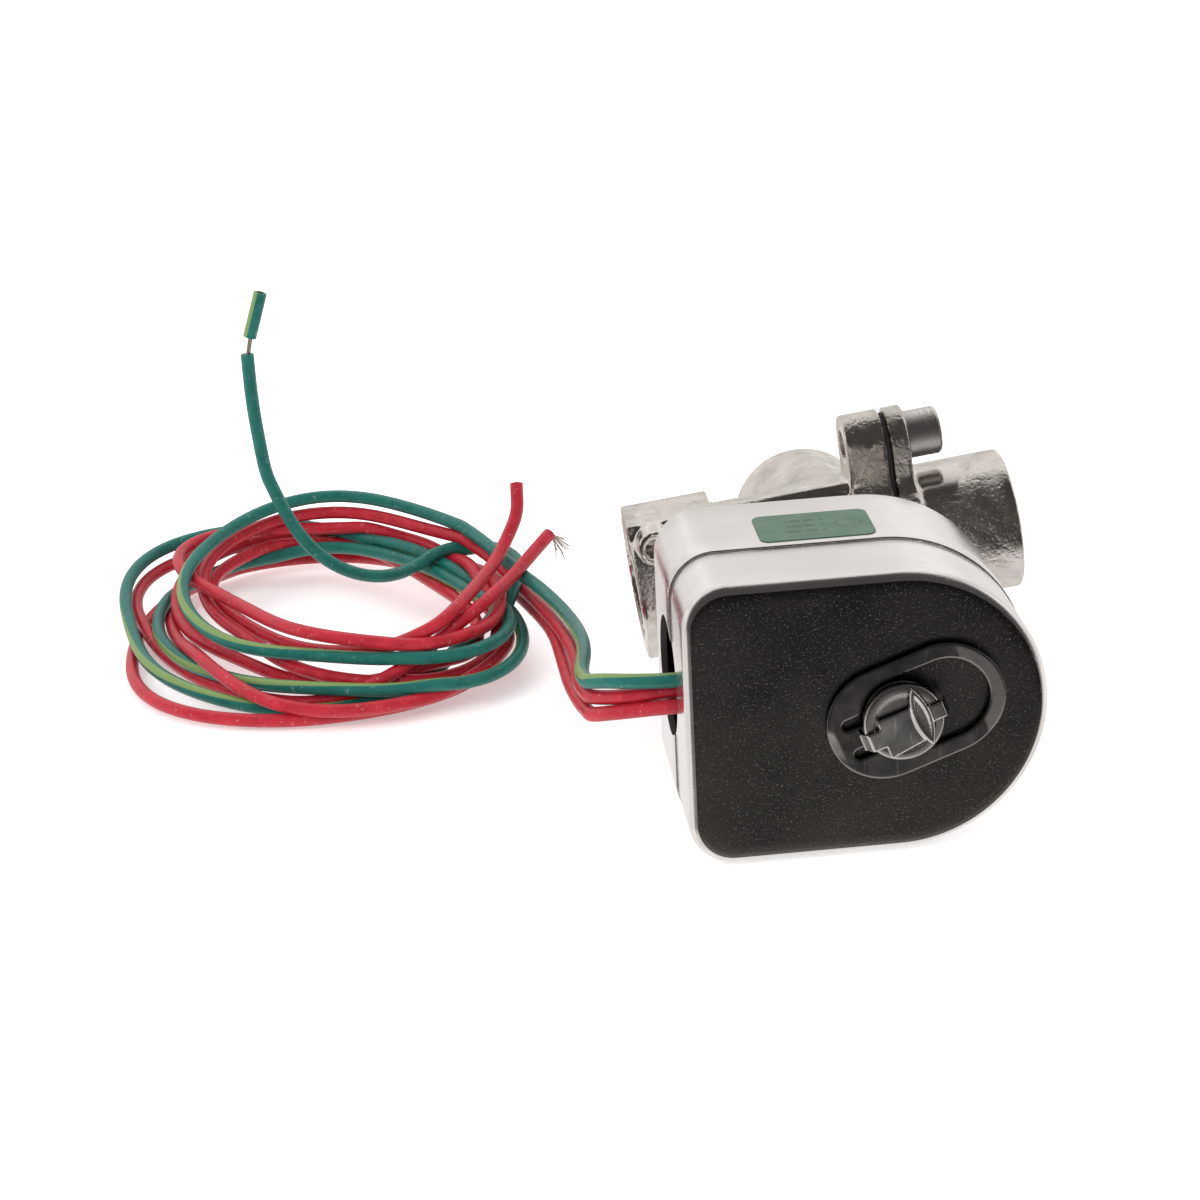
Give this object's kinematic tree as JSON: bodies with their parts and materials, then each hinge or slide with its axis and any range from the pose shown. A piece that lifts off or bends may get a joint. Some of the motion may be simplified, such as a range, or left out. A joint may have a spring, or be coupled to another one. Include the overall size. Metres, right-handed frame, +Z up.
{
  "type": "solenoid valve",
  "caption": "Pilot-operated three-way solenoid valve with a D-shaped coil housing, spring clip, bolted port cover and loose wire leads.",
  "frame": {"origin": "on the floor under the straight side of the coil housing, 15 mm to the left of the coil axis and 29.6 mm behind the front face", "axes": "+X along the pipe run to the bolted port cover, +Y along the coil axis from the clip to the rear port, +Z up"},
  "size_m": [0.1897, 0.171, 0.0794],
  "materials": {
    "plated_brass": "satin nickel plate, rough cast in places",
    "housing_steel": "bright satin",
    "steel": "satin",
    "stainless": "turned",
    "clip_steel": "polished spring steel",
    "copper": "enamelled copper wire",
    "rubber": "moulded nitrile",
    "nylon": "moulded",
    "green_label": "printed film",
    "red_insulation": "extruded insulation",
    "green_insulation": "extruded insulation with a yellow stripe"
  },
  "bodies": {
    "solenoid": {"bare_conductor": "copper", "coil_bobbin": "nylon", "coil_winding": "copper", "green_lead": "green_insulation", "green_tail": "green_insulation", "housing_front_cover": "housing_steel", "housing_rear_shell": "housing_steel", "insulation_slug": "green_insulation", "lead_coil": "red_insulation", "rating_label": "green_label", "red_lead_a": "red_insulation", "red_lead_b": "red_insulation", "red_tail_a": "red_insulation", "red_tail_b": "red_insulation", "yoke_front_plate": "steel", "yoke_rear_plate": "steel", "yoke_sleeve": "steel"},
    "valve": {"core_tube": "stainless", "plugnut": "stainless", "shading_ring": "copper", "retaining_clip": "clip_steel", "name_strap": "clip_steel", "spring_washer": "steel", "bonnet": "stainless", "bonnet_o_ring": "rubber", "pilot_seat": "stainless", "valve_body": "plated_brass", "passage_plug": "plated_brass", "diaphragm": "rubber", "port_cover": "plated_brass", "cap_screw_top": "steel", "cap_screw_bottom": "steel", "core_spring": "stainless"},
    "core": {"core": "stainless", "core_seal_disc": "rubber"},
    "diaphragm_poppet": {"diaphragm_poppet": "rubber"}
  },
  "joints": [
    {"name": "valve_swivel", "type": "hinge", "parent": "solenoid", "child": "valve", "pos_m": [0.015, 0, 0.027], "axis": [0, 1, 0], "continuous": true},
    {"name": "core_stroke", "type": "slide", "parent": "valve", "child": "core", "axis": [0, -1, 0], "range_m": [0, 0.0016], "stiffness_N_per_m": 250, "springref_m": -0.005},
    {"name": "diaphragm_stroke", "type": "slide", "parent": "valve", "child": "diaphragm_poppet", "axis": [0.9936, 0, 0.1132], "range_m": [-0.0015, 0.0015], "stiffness_N_per_m": 400}
  ]
}
